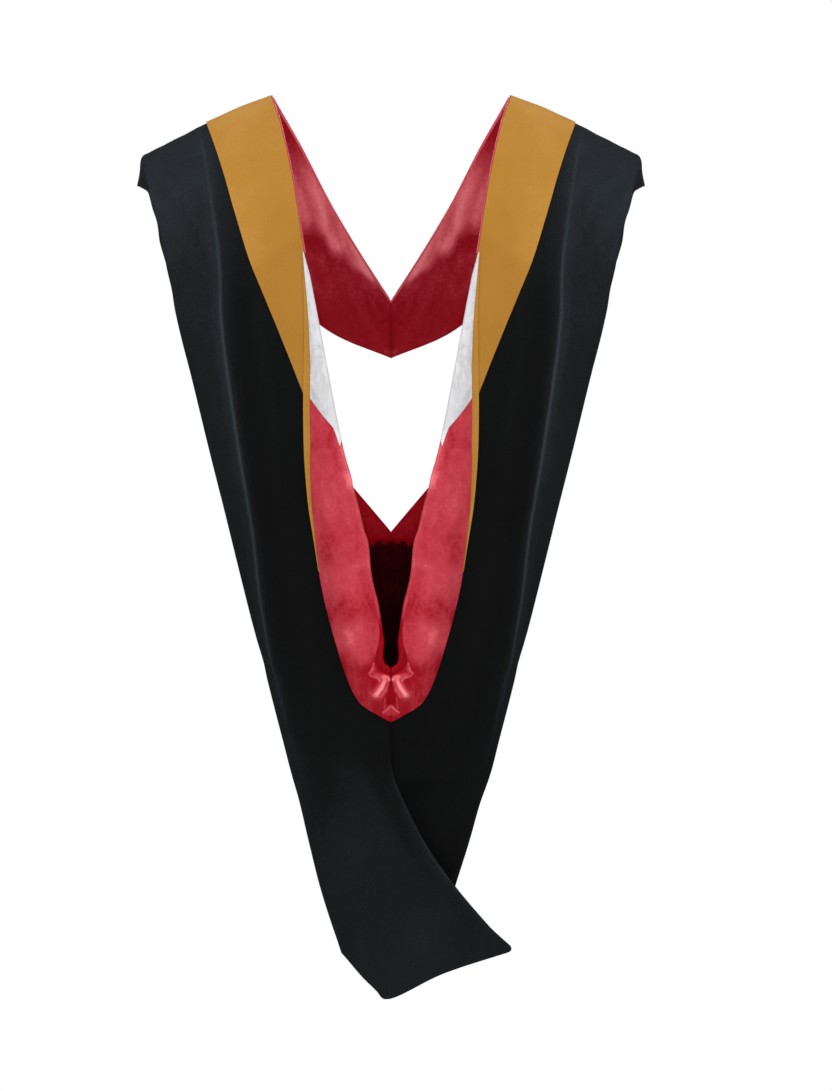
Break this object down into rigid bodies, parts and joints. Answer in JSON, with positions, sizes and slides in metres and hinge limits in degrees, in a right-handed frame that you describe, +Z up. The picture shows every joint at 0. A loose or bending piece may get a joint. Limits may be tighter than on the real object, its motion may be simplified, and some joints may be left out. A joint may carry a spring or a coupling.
{
  "type": "academic hood",
  "caption": "Black academic hood in its worn form, with wide gold velvet trim, a red and white satin lining turned out down the back, and a tail that falls to one side.",
  "frame": {"origin": "on the shoulder line at the base of the wearer's neck, where the hood's two shoulder bands sit", "axes": "+Z up, +Y the way the wearer faces, so that the open cowl and the tail hang at -Y; +X to the wearer's right"},
  "size_m": [0.5794, 0.2974, 1.0107],
  "materials": {
    "black_cloth": "closely woven black cloth with a faint sheen",
    "gold_velvet": "matte gold velvet with a short nap",
    "red_satin": "red satin with a soft cloudy shine",
    "white_satin": "white satin with soft wrinkles"
  },
  "bodies": {
    "root": {"shell_left": "black_cloth", "shell_right": "black_cloth", "velvet_trim_left": "gold_velvet", "velvet_trim_right": "gold_velvet", "velvet_edge_left": "gold_velvet", "velvet_edge_right": "gold_velvet", "yoke_lining_left": "red_satin", "yoke_lining_right": "red_satin", "cowl_lining_left": "red_satin", "cowl_lining_right": "red_satin", "turned_lining_left": "red_satin", "turned_lining_right": "red_satin", "chevron_left": "white_satin", "chevron_right": "white_satin"}
  },
  "joints": []
}
